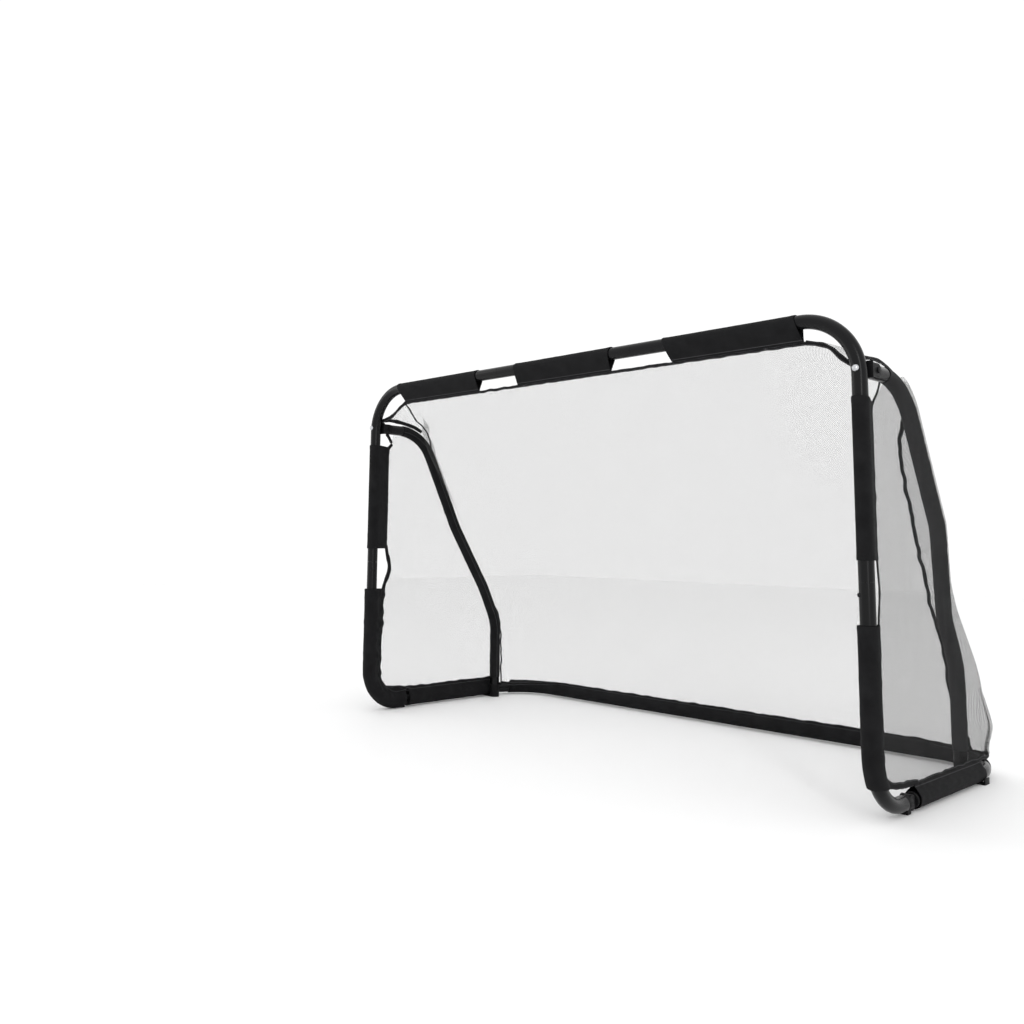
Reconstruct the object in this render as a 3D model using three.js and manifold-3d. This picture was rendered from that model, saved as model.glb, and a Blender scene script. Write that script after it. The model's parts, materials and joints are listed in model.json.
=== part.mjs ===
// A folding football goal of steel tube with fabric sleeves and a net.
// Millimetres. X runs along the crossbar, Y from the mouth to the back, Z up. The origin is on the ground,
// in the middle of the goal's length and depth.
import * as THREE from "three";
import { mergeVertices } from "three/addons/utils/BufferGeometryUtils.js";
import Module from "manifold-3d";

const wasm = await Module();
wasm.setup();

// Driving dimensions
const WIDTH = 1300; // outside of one post to outside of the other
const HEIGHT = 800; // ground to the top of the crossbar
const DEPTH = 554; // front face of the posts to the back of the rear bar
const BOLT_PROUD = 5.8; // the bracket bolts' heads stand this far before the posts
const FRONT = (BOLT_PROUD - DEPTH) / 2; // front face of the posts
const TUBE = { outer: 12.5, inner: 11.3 };
const SPIGOT = { outer: 10.9, inner: 9.7, length: 60 };
const FABRIC = { inner: 12.85, outer: 13.6 }; // a sleeve round a tube
const TAIL_HALF = 1.2; // half the thickness of a sleeve's sewn tail
const TOUCH = 0.3; // gap between pieces that touch

const POST_X = WIDTH / 2 - TUBE.outer;
const POST_Y = FRONT + TUBE.outer;
const BAR_Z = HEIGHT - TUBE.outer;
const REAR_Y = FRONT + DEPTH - FABRIC.outer;
const RAIL_Z = 16.5; // the rails stand clear of the ground on the feet
const TOP_BEND = 100;
const LOWER_BEND = 85;
const REAR_BEND = 120;

const BAR_JOINT = 185; // distance of the crossbar's joints from its middle
const POST_JOINT = 362; // height of the joint in each post
const REAR_JOINT = 400;
const BUTTON_FROM_JOINT = 20;

const HINGE_Y = FRONT + 124; // axis of the ground frame's hinge, at RAIL_Z
const HINGE_GAP = 13.5; // from that axis to the rail's end cap
const HINGE_WIDTH = 17;
const POST_END_Y = HINGE_Y - 18; // open end of the bent lower post
const PIN = 3;
const PIN_HOLE = 3.25;

const STRUT_TOP = 697; // height of the strut's pin and of the bracket bolt
const STRUT_PIN_Y = FRONT + 45;
const STRUT_SHOULDER_Y = FRONT + 162;
const STRUT_FOOT_Y = FRONT + 412;
const STRUT_KNEE_Z = 200;
const STRUT_INSET = 27.6; // the lower part of the strut stands this far inside the rail
const INSET_FROM_Z = 450;
const INSET_TO_Z = 290;
const STRUT_END_Z = 34.3;
const STRUT_BENDS = [115, 120, 120, 120];
const BRACKET = { half: 16.3, plate: 3, back: FRONT + 25.3, ear: 11, web: 14 };

const NET = 1.2; // thickness of the net and its hems together
const NET_TOP = 751.5;
const NET_BOTTOM = 33;
const SEAM_X = 590; // where the back net meets the side nets
const SEAM_GAP = 1;
const SIDES = 8; // curveSegments of a round section, which gives twice as many sides

// Materials
const paint = () => new THREE.MeshStandardMaterial({ color: 0x0c0c0d, roughness: 0.28, metalness: 0.3 });
const cloth = () => new THREE.MeshStandardMaterial({ color: 0x141416, roughness: 0.85, metalness: 0 });
const mesh = () => new THREE.MeshStandardMaterial({ color: 0x2a2a2c, roughness: 0.9, metalness: 0 });
const zinc = () => new THREE.MeshStandardMaterial({ color: 0xb9bcc0, roughness: 0.3, metalness: 1 });
const moulded = () => new THREE.MeshStandardMaterial({ color: 0x101011, roughness: 0.5, metalness: 0 });

const v = (x, y, z) => new THREE.Vector3(x, y, z);
const X = v(1, 0, 0);
const Y = v(0, 1, 0);
const Z = v(0, 0, 1);

// A route of straight runs joined by arcs: one step to a straight run, a few to an arc.
class BentPath extends THREE.Curve {
  constructor(corners, radii, arcSteps = 6) {
    super();
    this.stations = [corners[0].clone()];
    corners.slice(1, -1).forEach((corner, i) => this.addArc(corners[i], corner, corners[i + 2], radii[i], arcSteps));
    this.stations.push(corners.at(-1).clone());
  }

  addArc(before, corner, after, radius, steps) {
    const back = before.clone().sub(corner).normalize();
    const on = after.clone().sub(corner).normalize();
    const half = back.angleTo(on) / 2;
    const inward = back.clone().add(on).normalize();
    const centre = corner.clone().addScaledVector(inward, radius / Math.sin(half));
    const turn = Math.PI - 2 * half;
    const start = corner.clone().addScaledVector(back, radius / Math.tan(half)).sub(centre);
    const axis = v(0, 0, 0).crossVectors(back, on).negate().normalize();
    for (let i = 0; i <= steps; i++) {
      this.stations.push(start.clone().applyAxisAngle(axis, (turn * i) / steps).add(centre));
    }
  }

  get steps() {
    return this.stations.length - 1;
  }

  // The part of this route between two stations, by index.
  between(first, last) {
    const part = Object.assign(Object.create(BentPath.prototype), this);
    part.stations = this.stations.slice(first, last + 1);
    return part;
  }

  getPoint(t, target = v(0, 0, 0)) {
    return target.copy(this.stations[Math.round(t * this.steps)]);
  }

  getPointAt(u, target) {
    return this.getPoint(u, target);
  }

  getTangentAt(u, target = v(0, 0, 0)) {
    const i = Math.round(u * this.steps);
    const s = this.stations;
    const ahead = i < this.steps ? s[i + 1].clone().sub(s[i]).normalize() : v(0, 0, 0);
    const behind = i > 0 ? s[i].clone().sub(s[i - 1]).normalize() : v(0, 0, 0);
    return target.copy(ahead.add(behind).normalize());
  }
}

// Solids
function toSolid(geometry) {
  const bare = geometry.clone();
  bare.deleteAttribute("normal");
  bare.deleteAttribute("uv");
  const merged = mergeVertices(bare, 1e-3);
  return new wasm.Manifold(
    new wasm.Mesh({
      numProp: 3,
      vertProperties: merged.attributes.position.array,
      triVerts: new Uint32Array(merged.index.array),
    }),
  );
}

function toGeometry(solid) {
  const made = solid.getMesh();
  const geometry = new THREE.BufferGeometry();
  geometry.setAttribute("position", new THREE.BufferAttribute(made.vertProperties, made.numProp));
  geometry.setIndex(new THREE.BufferAttribute(made.triVerts, 1));
  return geometry.toNonIndexed();
}

const join = (first, ...rest) => toGeometry(rest.reduce((s, g) => s.add(toSolid(g)), toSolid(first)));
const cut = (first, ...rest) => toGeometry(rest.reduce((s, g) => s.subtract(toSolid(g)), toSolid(first)));

// Turns a shape that stands along `from` so that it stands along `to`, then moves it.
function placed(geometry, at, from = Z, to = Z) {
  geometry.applyQuaternion(new THREE.Quaternion().setFromUnitVectors(from, to.clone().normalize()));
  return geometry.translate(at.x, at.y, at.z);
}

function ring(outer, inner) {
  const shape = new THREE.Shape().absarc(0, 0, outer, 0, 2 * Math.PI);
  if (inner) shape.holes.push(new THREE.Path().absarc(0, 0, inner, 0, 2 * Math.PI, true));
  return shape;
}

// A round tube along a route.
function tubeAlong(path, { outer, inner } = TUBE) {
  return new THREE.ExtrudeGeometry(ring(outer, inner), {
    steps: path.steps,
    extrudePath: path,
    curveSegments: SIDES,
  });
}

const straight = (a, b) => new BentPath([a, b], []);

// A rod or washer centred at a point, with its axis in a direction.
function rod(at, direction, radius, length, sides = 16) {
  return placed(new THREE.CylinderGeometry(radius, radius, length, sides), at, Y, direction);
}

function box(x, y, z) {
  const [dx, dy, dz] = [x, y, z].map(([low, high]) => high - low);
  return new THREE.BoxGeometry(dx, dy, dz).translate((x[0] + x[1]) / 2, (y[0] + y[1]) / 2, (z[0] + z[1]) / 2);
}

// The reduced end of a tube, which pushes into its neighbour. It starts at the joint and points in a direction.
function spigot(joint, direction) {
  const { outer, inner, length } = SPIGOT;
  const bite = 14; // how far its root runs back inside the full tube, in the wall
  const root = TUBE.inner + 0.4;
  const profile = [
    [inner, -bite],
    [root, -bite],
    [root, 0],
    [outer, 0],
    [outer, length],
    [inner, length],
    [inner, -bite],
  ].map(([r, along]) => new THREE.Vector2(r, along));
  return placed(new THREE.LatheGeometry(profile, 2 * SIDES), joint, Y, direction);
}

// A thin sheet over surface(u, v), u and v from 0 to 1, made from a box whose faces are bent onto it.
function sheet(surface, across, down) {
  const geometry = new THREE.BoxGeometry(1, 1, 1, across, down, 1);
  const p = geometry.attributes.position;
  const near = 0.01;
  for (let i = 0; i < p.count; i++) {
    const [s, t] = [p.getX(i) + 0.5, p.getY(i) + 0.5];
    const alongS = surface(Math.min(s + near, 1), t).sub(surface(Math.max(s - near, 0), t));
    const alongT = surface(s, Math.min(t + near, 1)).sub(surface(s, Math.max(t - near, 0)));
    const out = alongS.cross(alongT).normalize();
    const here = surface(s, t).addScaledVector(out, p.getZ(i) * NET);
    p.setXYZ(i, here.x, here.y, here.z);
  }
  return geometry;
}

// A sleeve's section: a ring of fabric with the two layers sewn together in a tail below it.
function sleeveSection(tail) {
  const lean = Math.asin(TAIL_HALF / FABRIC.outer);
  const shape = new THREE.Shape();
  shape.absarc(0, 0, FABRIC.outer, -Math.PI / 2 + lean, 1.5 * Math.PI - lean);
  shape.lineTo(-TAIL_HALF, -FABRIC.outer - tail);
  shape.lineTo(TAIL_HALF, -FABRIC.outer - tail);
  shape.closePath();
  shape.holes.push(new THREE.Path().absarc(0, 0, FABRIC.inner, 0, 2 * Math.PI, true));
  return shape;
}

// A straight sleeve from a to b, with its tail on the side that `hang` points to.
function sleeve(a, b, hang, tail) {
  const along = b.clone().sub(a);
  const geometry = new THREE.ExtrudeGeometry(sleeveSection(tail), {
    depth: along.length(),
    bevelEnabled: false,
    curveSegments: SIDES,
  });
  const up = hang.clone().negate();
  const side = up.clone().cross(along.clone().normalize());
  return geometry.applyMatrix4(new THREE.Matrix4().makeBasis(side, up, along.normalize()).setPosition(a));
}

// The goal: pieces on the right are drawn at positive X, and a mirrored group holds their opposites.
const goal = new THREE.Group();
const mirrored = new THREE.Group();
mirrored.scale.x = -1;
goal.add(mirrored);

function add(name, geometry, material, group = goal) {
  const piece = new THREE.Mesh(geometry, material);
  piece.name = name;
  group.add(piece);
}

function addPair(name, geometry, material) {
  add("right_" + name, geometry, material());
  add("left_" + name, geometry.clone(), material(), mirrored);
}

// Push-button joints. Each button stands in a hole through both tubes and rests on a leaf spring in the spigot.
const BUTTON = { radius: 3.2, hole: 3.6, flange: 4.6, proud: 2.4 };
const buttonFacing = { bar: v(0, 1, 0), post: v(-1, -1, 0).normalize() };

function buttonHole(at, facing) {
  return rod(at.clone().addScaledVector(facing, 12), facing, BUTTON.hole, 10);
}

function snapButton(at, facing) {
  const { radius, flange, proud } = BUTTON;
  const profile = [
    [0, 6.4],
    [flange, 6.4],
    [flange, 8.2],
    [radius, 8.2],
    [radius, TUBE.outer + proud - 1],
    [radius - 1, TUBE.outer + proud],
    [0, TUBE.outer + proud],
  ].map(([r, along]) => new THREE.Vector2(r, along));
  return placed(new THREE.LatheGeometry(profile, 14), at, Y, facing);
}

// A bent strip: one leg lies on the spigot's far wall and the other holds the button up.
function leafSpring(at, facing, along) {
  const strip = 0.6;
  const tip = 5.8;
  const wall = -6.8;
  const shape = new THREE.Shape();
  shape.moveTo(-6, tip);
  shape.lineTo(4, tip);
  shape.lineTo(26, wall + 2);
  shape.lineTo(26, wall);
  shape.lineTo(-8, wall);
  shape.lineTo(-8, wall + strip);
  shape.lineTo(24, wall + strip);
  shape.lineTo(3.6, tip - strip);
  shape.lineTo(-6, tip - strip);
  shape.closePath();
  const width = 7;
  const geometry = new THREE.ExtrudeGeometry(shape, { depth: width, bevelEnabled: false }).translate(0, 0, -width / 2);
  const side = along.clone().cross(facing);
  return geometry.applyMatrix4(new THREE.Matrix4().makeBasis(along, facing, side).setPosition(at));
}

// Front frame: the crossbar's middle tube, a top corner and a lower post on each side.
const barPoint = (x) => v(x, POST_Y, BAR_Z);
const postPoint = (z) => v(POST_X, POST_Y, z);
const barButton = barPoint(BAR_JOINT + BUTTON_FROM_JOINT);
const postButton = postPoint(POST_JOINT - BUTTON_FROM_JOINT);
const boltHole = rod(v(POST_X, POST_Y, STRUT_TOP), Y, PIN_HOLE, 40);

function topCornerTube() {
  const path = new BentPath(
    [barPoint(BAR_JOINT + TOUCH), v(POST_X, POST_Y, BAR_Z), postPoint(POST_JOINT + TOUCH)],
    [TOP_BEND],
    8,
  );
  const whole = join(tubeAlong(path), spigot(postPoint(POST_JOINT + TOUCH), Z.clone().negate()));
  const holes = [buttonHole(barButton, buttonFacing.bar), buttonHole(postButton, buttonFacing.post)];
  return cut(whole, boltHole, ...holes);
}

function crossbarTube() {
  const body = join(
    tubeAlong(straight(barPoint(-BAR_JOINT), barPoint(BAR_JOINT))),
    spigot(barPoint(BAR_JOINT), X),
    spigot(barPoint(-BAR_JOINT), X.clone().negate()),
  );
  const left = barPoint(-BAR_JOINT - BUTTON_FROM_JOINT);
  return cut(body, buttonHole(left, buttonFacing.bar), buttonHole(barButton, buttonFacing.bar));
}

function lowerPostTube() {
  const end = v(POST_X, POST_END_Y, RAIL_Z);
  const path = new BentPath([postPoint(POST_JOINT), postPoint(RAIL_Z), end], [LOWER_BEND], 7);
  return cut(tubeAlong(path), buttonHole(postButton, buttonFacing.post));
}

add("crossbar_tube", crossbarTube(), paint());
addPair("top_corner_tube", topCornerTube(), paint);
addPair("lower_post_tube", lowerPostTube(), paint);

addPair("crossbar_button", snapButton(barButton, buttonFacing.bar), paint);
addPair("crossbar_spring", leafSpring(barButton, buttonFacing.bar, X), zinc);
addPair("post_button", snapButton(postButton, buttonFacing.post), paint);
addPair("post_spring", leafSpring(postButton, buttonFacing.post, Z.clone().negate()), zinc);

// Ground frame hinge: a fork plugged into the post's bent end, a tongue plugged into the rail, and a cross pin.
const hingeAxis = v(POST_X, HINGE_Y, RAIL_Z);
const TONGUE_HALF = 4;

function hingeFork() {
  const start = POST_END_Y + TOUCH;
  const collar = rod(v(POST_X, (start + HINGE_Y) / 2, RAIL_Z), Y, TUBE.outer, HINGE_Y - start, 18);
  const nose = rod(hingeAxis, X, TUBE.outer - 0.1, HINGE_WIDTH, 18);
  const plug = rod(v(POST_X, start - 4, RAIL_Z), Y, SPIGOT.outer, 9);
  const foot = box([POST_X - 8, POST_X + 8], [HINGE_Y - 17, HINGE_Y - 5], [0, 8]);
  const slot = box([POST_X - TONGUE_HALF - TOUCH, POST_X + TONGUE_HALF + TOUCH], [HINGE_Y - 13, HINGE_Y + 20], [3.4, 40]);
  return cut(join(collar, nose, plug, foot), slot, rod(hingeAxis, X, PIN_HOLE, 40));
}

function hingeTongue() {
  const cap = HINGE_Y + HINGE_GAP;
  const disc = rod(hingeAxis, X, 11.8, 2 * TONGUE_HALF, 18);
  const neck = box([POST_X - TONGUE_HALF, POST_X + TONGUE_HALF], [HINGE_Y, cap + 1], [RAIL_Z - 9, RAIL_Z + 9]);
  const collar = rod(v(POST_X, cap + 3, RAIL_Z), Y, TUBE.outer, 6, 18);
  const plug = rod(v(POST_X, cap + 16, RAIL_Z), Y, SPIGOT.outer, 22);
  return cut(join(disc, neck, collar, plug), rod(hingeAxis, X, PIN_HOLE, 40));
}

addPair("hinge_fork", hingeFork(), moulded);
addPair("hinge_tongue", hingeTongue(), moulded);
addPair("hinge_pin", rod(hingeAxis, X, PIN, HINGE_WIDTH), paint);

// Ground frame: two side rails with rounded rear corners, and the bar between them.
function railTube() {
  const start = v(POST_X, HINGE_Y + HINGE_GAP + 6 + TOUCH, RAIL_Z);
  const path = new BentPath([start, v(POST_X, REAR_Y, RAIL_Z), v(REAR_JOINT + TOUCH, REAR_Y, RAIL_Z)], [REAR_BEND], 9);
  return tubeAlong(path);
}

function rearBarTube() {
  const [left, right] = [-REAR_JOINT, REAR_JOINT].map((x) => v(x, REAR_Y, RAIL_Z));
  return join(tubeAlong(straight(left, right)), spigot(right, X), spigot(left, X.clone().negate()));
}

addPair("rail_tube", railTube(), paint);
add("rear_bar_tube", rearBarTube(), paint());

// Struts: each hangs on a bracket behind the post, bends down, and stands with its foot inside the rail.
const strutSlope = (STRUT_FOOT_Y - STRUT_SHOULDER_Y) / (STRUT_TOP - STRUT_KNEE_Z);
const slopeY = (z) => STRUT_SHOULDER_Y + strutSlope * (STRUT_TOP - z);
const LEG_X = POST_X - STRUT_INSET;
const strutPath = new BentPath(
  [
    v(POST_X, STRUT_PIN_Y - 10, STRUT_TOP),
    v(POST_X, STRUT_SHOULDER_Y, STRUT_TOP),
    v(POST_X, slopeY(INSET_FROM_Z), INSET_FROM_Z),
    v(LEG_X, slopeY(INSET_TO_Z), INSET_TO_Z),
    v(LEG_X, STRUT_FOOT_Y, STRUT_KNEE_Z),
    v(LEG_X, STRUT_FOOT_Y, STRUT_END_Z),
  ],
  STRUT_BENDS,
  5,
);
const strutPin = v(POST_X, STRUT_PIN_Y, STRUT_TOP);

function strutBracket() {
  const { half, plate, back, ear, web } = BRACKET;
  const sheet = box([POST_X - half, POST_X + half], [back, back + plate], [STRUT_TOP - web, STRUT_TOP + web]);
  const earAt = (low) => [
    box([low, low + plate], [back + plate / 2, STRUT_PIN_Y], [STRUT_TOP - ear, STRUT_TOP + ear]),
    rod(v(low + plate / 2, STRUT_PIN_Y, STRUT_TOP), X, ear, plate, 18),
  ];
  const whole = join(sheet, ...earAt(POST_X - half), ...earAt(POST_X + half - plate));
  return cut(whole, rod(strutPin, X, PIN_HOLE, 50), rod(v(POST_X, back + plate / 2, STRUT_TOP), Y, PIN_HOLE, 6));
}

// A round-headed bolt through the post into the bracket.
function bracketBolt() {
  const tall = BOLT_PROUD - TOUCH;
  const head = [
    [0, 0],
    [6, 0],
    [5.6, 0.36 * tall],
    [4.2, 0.73 * tall],
    [2, 0.95 * tall],
    [0, tall],
  ].map(([r, along]) => new THREE.Vector2(r, along));
  const dome = placed(new THREE.LatheGeometry(head, 18), v(POST_X, FRONT - TOUCH, STRUT_TOP), Y, Y.clone().negate());
  return join(dome, rod(v(POST_X, FRONT + 13.5, STRUT_TOP), Y, PIN, 29));
}

function strutPinRivet() {
  const heads = [-1, 1].map((side) => rod(v(POST_X + side * 17.3, STRUT_PIN_Y, STRUT_TOP), X, 5, 1.4));
  return join(rod(strutPin, X, PIN, 34), ...heads);
}

// The foot plugs the strut's end, stands on the ground and cradles the rail, which lifts out upwards.
function strutFoot() {
  const at = (z) => v(LEG_X, STRUT_FOOT_Y, z);
  const top = STRUT_END_Z - TOUCH;
  const block = rod(at(top / 2), Z, TUBE.outer, top, 18);
  const plug = rod(at(top + 13), Z, SPIGOT.outer, 28);
  const lip = POST_X + FABRIC.outer + 0.7;
  const depth = [STRUT_FOOT_Y - 10, STRUT_FOOT_Y + 10];
  const plate = box([LEG_X, lip + 2.4], depth, [0, 2.3]);
  const rim = box([lip, lip + 2.4], depth, [0, 11]);
  return join(block, plug, plate, rim);
}

addPair("strut_bracket", strutBracket(), paint);
addPair("bracket_bolt", bracketBolt(), zinc);
addPair("strut_pin", strutPinRivet(), paint);
addPair("strut_tube", cut(tubeAlong(strutPath), rod(strutPin, X, PIN_HOLE, 50)), paint);
addPair("strut_foot", strutFoot(), moulded);

// Fabric sleeves. Their sewn tails carry the net.
const BAR_TAIL = 21.4;
const POST_TAIL = 18;
const RAIL_TAIL = 15;
const down = Z.clone().negate();

// Where each sleeve starts and ends: along the crossbar from its middle, and up the post from the ground.
const COVERED = { centre: [-136, 136], corner: [256, 536], upperPost: [395, 655], lowerPost: [102, 298] };
const barSleeve = ([from, to]) => sleeve(barPoint(from), barPoint(to), down, BAR_TAIL);
const postSleeve = ([from, to]) => sleeve(postPoint(from), postPoint(to), Y, POST_TAIL);
add("centre_crossbar_sleeve", barSleeve(COVERED.centre), cloth());
addPair("crossbar_sleeve", barSleeve(COVERED.corner), cloth);
addPair("upper_post_sleeve", postSleeve(COVERED.upperPost), cloth);
addPair("lower_post_sleeve", postSleeve(COVERED.lowerPost), cloth);

function railSleeve() {
  const from = HINGE_Y + HINGE_GAP + 8;
  return sleeve(v(POST_X, from, RAIL_Z), v(POST_X, REAR_Y - REAR_BEND - 2, RAIL_Z), Z, RAIL_TAIL - 1);
}

function strutSleeve() {
  const cover = strutPath.between(4, strutPath.steps);
  cover.stations[cover.steps] = v(LEG_X, STRUT_FOOT_Y, 120);
  return tubeAlong(cover, FABRIC);
}

const REAR_TAIL = 2;
addPair("rail_sleeve", railSleeve(), cloth);
const rearEnd = POST_X - REAR_BEND - 2;
add("rear_bar_sleeve", sleeve(v(-rearEnd, REAR_Y, RAIL_Z), v(rearEnd, REAR_Y, RAIL_Z), Z, REAR_TAIL), cloth());
addPair("strut_sleeve", strutSleeve(), cloth);

// Nets. The back net runs straight from the crossbar to the rear bar, and stands out where the struts hold it up.
const smooth = (t) => THREE.MathUtils.smoothstep(t, 0, 1);
const mix = THREE.MathUtils.lerp;
const cornerX = POST_X - REAR_BEND;

// The ground frame's centreline, seen from above.
function frameY(x) {
  const over = Math.max(Math.abs(x) - cornerX, 0);
  return REAR_Y - REAR_BEND + Math.sqrt(REAR_BEND ** 2 - over ** 2);
}

const taut = (x, z) => mix(frameY(x), POST_Y, (z - NET_BOTTOM) / (NET_TOP - NET_BOTTOM));

// Where a strut's centreline is at a height: its X, and the Y of its back.
const CLEAR = 16.5;
const strutBack = strutPath.stations.slice(1).map((station, i) => {
  const t = strutPath.getTangentAt((i + 1) / strutPath.steps);
  return station.clone().add(v(0, -t.z, t.y).normalize().multiplyScalar(CLEAR));
});

function behindStrut(z) {
  const upper = strutBack.findIndex((p) => p.z < z);
  if (upper < 1) return strutBack[upper < 0 ? strutBack.length - 1 : 0];
  const [a, b] = [strutBack[upper - 1], strutBack[upper]];
  return a.clone().lerp(b, (a.z - z) / (a.z - b.z));
}

const ROOF_LOW = 700; // above this height the net leaves the struts and closes on the crossbar
const ROOF_HIGH = 738;

function seamY(z) {
  const onStrut = Math.max(taut(SEAM_X, Math.min(z, ROOF_LOW)), behindStrut(Math.min(z, ROOF_LOW)).y + 10);
  return mix(onStrut, taut(SEAM_X, z), smooth((z - ROOF_LOW) / (ROOF_HIGH - ROOF_LOW)));
}

const hemDrop = (x) => 20 * smooth((Math.abs(x) - 540) / (SEAM_X - 540)); // the free edge below the bare corner

function backNetSurface(s, t) {
  const x = mix(-SEAM_X, SEAM_X, s);
  const z = mix(NET_BOTTOM, NET_TOP - hemDrop(x), t);
  const pull = smooth((Math.abs(x) / SEAM_X - 0.8) / 0.2);
  return v(x, mix(taut(x, z), seamY(z), pull), z);
}

// The bottom edge of a side net: over the post's bend, then over the rail sleeve's tail, then down to the bare corner.
function sideNetFoot(s) {
  const overRail = RAIL_Z + FABRIC.outer + RAIL_TAIL + 1.5;
  return mix(overRail + 10 * (1 - smooth(s / 0.05)), NET_BOTTOM, smooth((s - 0.75) / 0.2));
}

// A level line of a side net: from the post's sleeve, outside the strut, and round its back to the seam.
function sideNetSurface(s, t) {
  const rim = mix(655, 694, smooth((s - 0.25) / 0.2));
  const top = mix(rim, NET_TOP - hemDrop(SEAM_X), smooth((s - 0.75) / 0.25));
  const z = mix(sideNetFoot(s), top, t);
  const strut = behindStrut(z);
  const level = Math.min(z, ROOF_LOW);
  const outside = Math.max(strut.x + CLEAR, POST_X);
  const sideEnd = Math.min(strut.y - CLEAR, REAR_Y - REAR_BEND);
  const start = v(POST_X, POST_Y + FABRIC.outer + POST_TAIL + 0.6, z);
  const turnFrom = 0.5;
  if (s < turnFrom) {
    const along = s / turnFrom;
    return v(mix(POST_X, outside, smooth(along * 1.6)), mix(start.y, sideEnd, along), z);
  }
  const angle = ((s - turnFrom) / (1 - turnFrom)) * (Math.PI / 2);
  const square = 2 / 3; // squares off the turn, so that it clears the strut
  const reach = Math.max(seamY(z), mix(sideEnd, seamY(level), smooth((ROOF_HIGH - z) / (ROOF_HIGH - ROOF_LOW))));
  const y = mix(sideEnd, reach, Math.sin(angle) ** square);
  return v(SEAM_X + SEAM_GAP + (outside - SEAM_X - SEAM_GAP) * Math.cos(angle) ** square, y, z);
}

add("back_net", sheet((s, t) => backNetSurface(1 - s, t), 18, 12), mesh());
addPair("side_net", sheet(sideNetSurface, 20, 16), mesh);

export default goal;
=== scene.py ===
import json
import math

import bpy
from mathutils import Matrix, Vector, noise

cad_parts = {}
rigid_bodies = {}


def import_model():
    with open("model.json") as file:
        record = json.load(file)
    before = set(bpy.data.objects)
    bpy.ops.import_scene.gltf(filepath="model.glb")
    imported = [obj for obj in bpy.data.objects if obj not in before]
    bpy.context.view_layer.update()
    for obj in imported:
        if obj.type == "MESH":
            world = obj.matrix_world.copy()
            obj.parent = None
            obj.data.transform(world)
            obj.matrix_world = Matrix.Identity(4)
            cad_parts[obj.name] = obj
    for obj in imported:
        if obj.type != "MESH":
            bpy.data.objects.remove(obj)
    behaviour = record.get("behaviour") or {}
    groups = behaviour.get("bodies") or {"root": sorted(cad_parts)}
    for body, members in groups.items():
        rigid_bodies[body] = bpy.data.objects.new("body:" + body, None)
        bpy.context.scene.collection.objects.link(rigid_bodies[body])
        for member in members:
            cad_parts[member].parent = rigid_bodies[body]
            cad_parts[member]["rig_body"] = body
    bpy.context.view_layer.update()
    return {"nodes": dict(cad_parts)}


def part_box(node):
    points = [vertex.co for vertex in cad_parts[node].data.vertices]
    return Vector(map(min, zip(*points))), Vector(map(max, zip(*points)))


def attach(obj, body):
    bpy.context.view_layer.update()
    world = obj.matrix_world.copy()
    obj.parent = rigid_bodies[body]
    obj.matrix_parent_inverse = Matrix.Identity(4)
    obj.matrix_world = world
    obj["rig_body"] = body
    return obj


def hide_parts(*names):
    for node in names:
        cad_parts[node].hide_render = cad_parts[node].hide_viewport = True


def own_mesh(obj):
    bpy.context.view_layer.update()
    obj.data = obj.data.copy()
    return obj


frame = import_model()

viewpoint = {
    "place": (1.3462, -1.7363, 0.4207),
    "yaw": math.radians(46.661),    # turned left from looking along +Y
    "pitch": math.radians(6.987),
    "roll": math.radians(0.67),
    "lens": 34.27,
    "shift": (0.0215, -0.0898),
}
studio = {
    "floorSize": 14.0,
    "world": (1.0, 1.0, 1.0),
    "worldStrength": 1.06,
    # name: place, aimed at, width, height, watts
    "lamps": {
        "topSoftbox": ((0.3, -0.8, 2.9), (0.0, 0.0, 0.4), 2.6, 2.0, 4),
        "frontStrip": ((2.6, -2.0, 1.3), (0.5, 0.0, 0.4), 0.3, 2.2, 17),
        "leftStrip": ((-2.6, -1.6, 1.2), (-0.5, 0.0, 0.4), 0.4, 2.2, 7),
        "rearSoftbox": ((0.6, 2.8, 1.6), (0.0, 0.0, 0.4), 1.6, 1.6, 2),
    },
}


def addCamera():
    bpy.ops.object.camera_add(location=viewpoint["place"])
    camera = bpy.context.object
    yaw, pitch, roll = viewpoint["yaw"], viewpoint["pitch"], viewpoint["roll"]
    forward = Vector((-math.sin(yaw) * math.cos(pitch), math.cos(yaw) * math.cos(pitch), math.sin(pitch)))
    level = Vector((math.cos(yaw), math.sin(yaw), 0))
    upright = level.cross(forward)
    right = level * math.cos(roll) + upright * math.sin(roll)
    up = upright * math.cos(roll) - level * math.sin(roll)
    turn = Matrix((right, up, -forward)).transposed()
    camera.matrix_world = Matrix.Translation(viewpoint["place"]) @ turn.to_4x4()
    camera.data.lens = viewpoint["lens"]
    camera.data.shift_x, camera.data.shift_y = viewpoint["shift"]
    bpy.context.scene.camera = camera


def addStudio():
    bpy.ops.mesh.primitive_plane_add(size=studio["floorSize"])
    floor = bpy.context.object
    floor.name = "studio_floor"
    floor.data.materials.append(paleFloor())
    for name, (place, aim, width, height, watts) in studio["lamps"].items():
        bpy.ops.object.light_add(type="AREA", location=place)
        lamp = bpy.context.object
        lamp.name = name
        lamp.rotation_euler = (Vector(aim) - Vector(place)).to_track_quat("-Z", "Y").to_euler()
        lamp.data.shape = "RECTANGLE"
        lamp.data.size = width
        lamp.data.size_y = height
        lamp.data.energy = watts
    world = bpy.data.worlds.new("paleRoom")
    world.use_nodes = True
    world.node_tree.nodes["Background"].inputs["Color"].default_value = (*studio["world"], 1)
    world.node_tree.nodes["Background"].inputs["Strength"].default_value = studio["worldStrength"]
    bpy.context.scene.world = world
    bpy.context.scene.view_settings.view_transform = "Standard"


def newMaterial(name):
    material = bpy.data.materials.new(name)
    material.use_nodes = True
    nodes, links = material.node_tree.nodes, material.node_tree.links
    return material, nodes, links, nodes["Principled BSDF"]


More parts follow.
